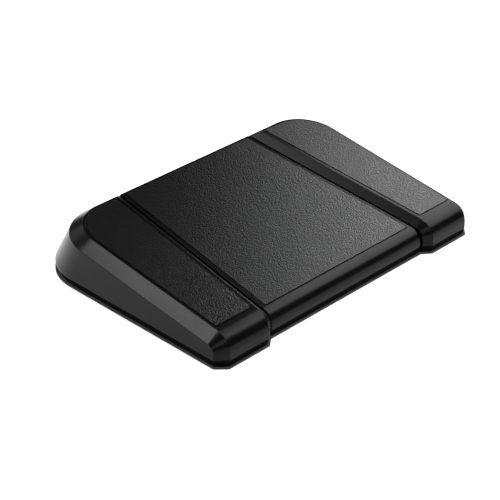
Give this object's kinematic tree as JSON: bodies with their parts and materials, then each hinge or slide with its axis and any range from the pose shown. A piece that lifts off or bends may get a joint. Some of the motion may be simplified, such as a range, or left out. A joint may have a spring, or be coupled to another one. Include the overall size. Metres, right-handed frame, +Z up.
{
  "type": "usb foot pedal switch",
  "caption": "Wedge-shaped foot switch: a wide middle pedal between two narrow side pedals, each hinged at its low front edge over a weighted base with a USB-C inlet.",
  "frame": {"origin": "on the floor, under the middle of the base outline", "axes": "+X across the pedals to the right, +Y from the low front edge to the tall rear, +Z up"},
  "size_m": [0.244, 0.183, 0.043],
  "materials": {
    "rubber_mat": "matt ribbed rubber",
    "tray_plastic": "fine matt moulding",
    "cap_plastic": "satin moulding",
    "tread_plastic": "fine pebble grain",
    "ballast_steel": "zinc plated",
    "screw_steel": "zinc plated",
    "rod_steel": "ground",
    "spring_steel": "drawn wire",
    "inlet_steel": "nickel plated",
    "board_laminate": "solder mask over laminate",
    "chip_resin": "moulded resin",
    "crystal_can": "stamped can",
    "part_ceramic": "fired ceramic",
    "switch_plastic": "moulded nylon",
    "stem_plastic": "low friction moulding",
    "bumper_silicone": "translucent silicone",
    "striker_rubber": "matt rubber"
  },
  "bodies": {
    "base": {"anti_slip_mat": "rubber_mat", "base_tray": "tray_plastic", "ballast_plate": "ballast_steel", "ballast_screws": "screw_steel", "port_housing": "tray_plastic", "main_board": "board_laminate", "board_screws": "screw_steel", "usb_inlet_shell": "inlet_steel", "usb_inlet_tongue": "chip_resin", "controller_chip": "chip_resin", "board_crystal": "crystal_can", "voltage_regulator": "chip_resin", "board_capacitors": "part_ceramic", "board_resistors": "chip_resin", "stop_bumpers": "bumper_silicone", "hinge_clips": "spring_steel", "left_hinge_rod": "rod_steel", "left_switch_housing": "switch_plastic", "left_switch_spring": "spring_steel", "left_return_springs": "spring_steel", "middle_hinge_rod": "rod_steel", "middle_switch_housing": "switch_plastic", "middle_switch_spring": "spring_steel", "middle_return_springs": "spring_steel", "right_hinge_rod": "rod_steel", "right_switch_housing": "switch_plastic", "right_switch_spring": "spring_steel", "right_return_springs": "spring_steel"},
    "left_pedal": {"left_cap": "cap_plastic", "left_tread": "tread_plastic", "left_striker": "striker_rubber"},
    "left_plunger": {"left_switch_stem": "stem_plastic"},
    "middle_pedal": {"middle_cap": "cap_plastic", "middle_tread": "tread_plastic", "middle_striker": "striker_rubber"},
    "middle_plunger": {"middle_switch_stem": "stem_plastic"},
    "right_pedal": {"right_cap": "cap_plastic", "right_tread": "tread_plastic", "right_striker": "striker_rubber"},
    "right_plunger": {"right_switch_stem": "stem_plastic"}
  },
  "joints": [
    {"name": "left_pedal_hinge", "type": "hinge", "parent": "base", "child": "left_pedal", "pos_m": [-0.0965, -0.0788, 0.0105], "axis": [-1, 0, 0], "range_deg": [0, 1.3], "stiffness_Nm_per_rad": 35, "springref_deg": -1.64, "deforming": ["left_return_springs"]},
    {"name": "left_plunger_slide", "type": "slide", "parent": "base", "child": "left_plunger", "axis": [0, 0, -1], "range_m": [0, 0.0036], "stiffness_N_per_m": 150, "springref_m": -0.002, "deforming": ["left_switch_spring"]},
    {"name": "middle_pedal_hinge", "type": "hinge", "parent": "base", "child": "middle_pedal", "pos_m": [0, -0.0757, 0.00872], "axis": [-1, 0, 0], "range_deg": [0, 1.3], "stiffness_Nm_per_rad": 45, "springref_deg": -1.27, "deforming": ["middle_return_springs"]},
    {"name": "middle_plunger_slide", "type": "slide", "parent": "base", "child": "middle_plunger", "axis": [0, 0, -1], "range_m": [0, 0.0036], "stiffness_N_per_m": 150, "springref_m": -0.002, "deforming": ["middle_switch_spring"]},
    {"name": "right_pedal_hinge", "type": "hinge", "parent": "base", "child": "right_pedal", "pos_m": [0.0965, -0.0788, 0.0105], "axis": [-1, 0, 0], "range_deg": [0, 1.3], "stiffness_Nm_per_rad": 35, "springref_deg": -1.64, "deforming": ["right_return_springs"]},
    {"name": "right_plunger_slide", "type": "slide", "parent": "base", "child": "right_plunger", "axis": [0, 0, -1], "range_m": [0, 0.0036], "stiffness_N_per_m": 150, "springref_m": -0.002, "deforming": ["right_switch_spring"]}
  ],
  "couplings": [
    {"joint": "left_plunger_slide", "follows": "left_pedal_hinge", "m_per_rad": 0.1348},
    {"joint": "middle_plunger_slide", "follows": "middle_pedal_hinge", "m_per_rad": 0.1317},
    {"joint": "right_plunger_slide", "follows": "right_pedal_hinge", "m_per_rad": 0.1348}
  ]
}
